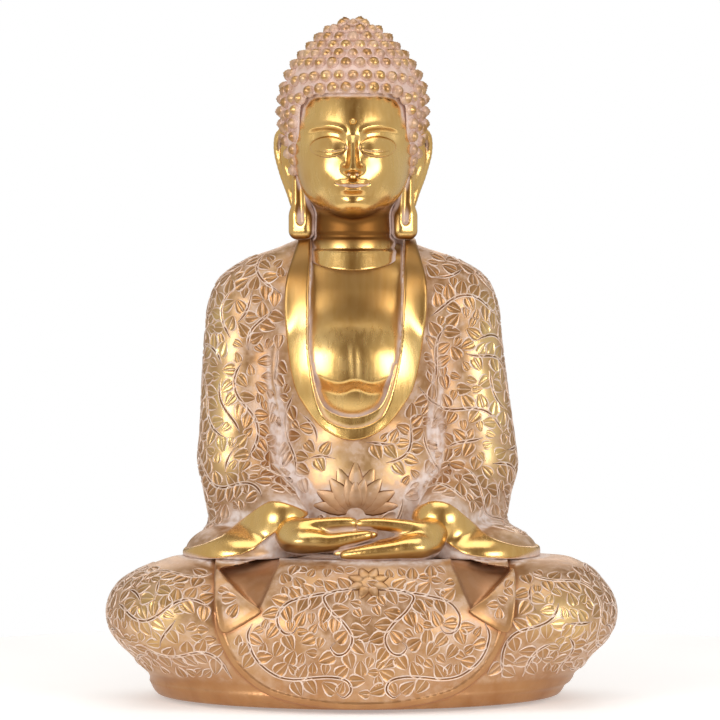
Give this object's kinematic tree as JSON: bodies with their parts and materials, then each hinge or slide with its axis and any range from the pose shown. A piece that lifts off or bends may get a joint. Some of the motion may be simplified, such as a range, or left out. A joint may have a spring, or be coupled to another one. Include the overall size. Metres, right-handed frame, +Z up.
{
  "type": "seated buddha statue",
  "caption": "Seated cross-legged buddha statue with curled hair and hands in its lap, cast in gold-coloured resin with a closed, felt-footed base.",
  "frame": {"origin": "on the ground, under the middle of the base", "axes": "+Z up, the face looks along -Y, +X to the sitter's left"},
  "size_m": [0.2992, 0.203, 0.3997],
  "materials": {
    "washed_gold": "gold paint over relief, with a pale pink wash in the hollows",
    "polished_gold": "polished gold coating, brushed lightly",
    "steel": "plain",
    "fibreboard": "raw brown hardboard",
    "felt": "dark felt",
    "rubber": "matt"
  },
  "bodies": {
    "root": {"lap_shell": "washed_gold", "torso_shell": "washed_gold", "head_shell": "polished_gold", "hair_cap": "washed_gold", "left_ear": "polished_gold", "right_ear": "polished_gold", "urna_bead": "polished_gold", "left_hand": "polished_gold", "right_hand": "polished_gold", "neck_dowel": "steel", "left_wrist_pin": "steel", "right_wrist_pin": "steel", "base_plate": "fibreboard", "vent_plug": "rubber", "base_screw_1": "steel", "base_screw_2": "steel", "base_screw_3": "steel", "base_screw_4": "steel", "felt_pad_1": "felt", "felt_pad_2": "felt", "felt_pad_3": "felt", "felt_pad_4": "felt"}
  },
  "joints": []
}
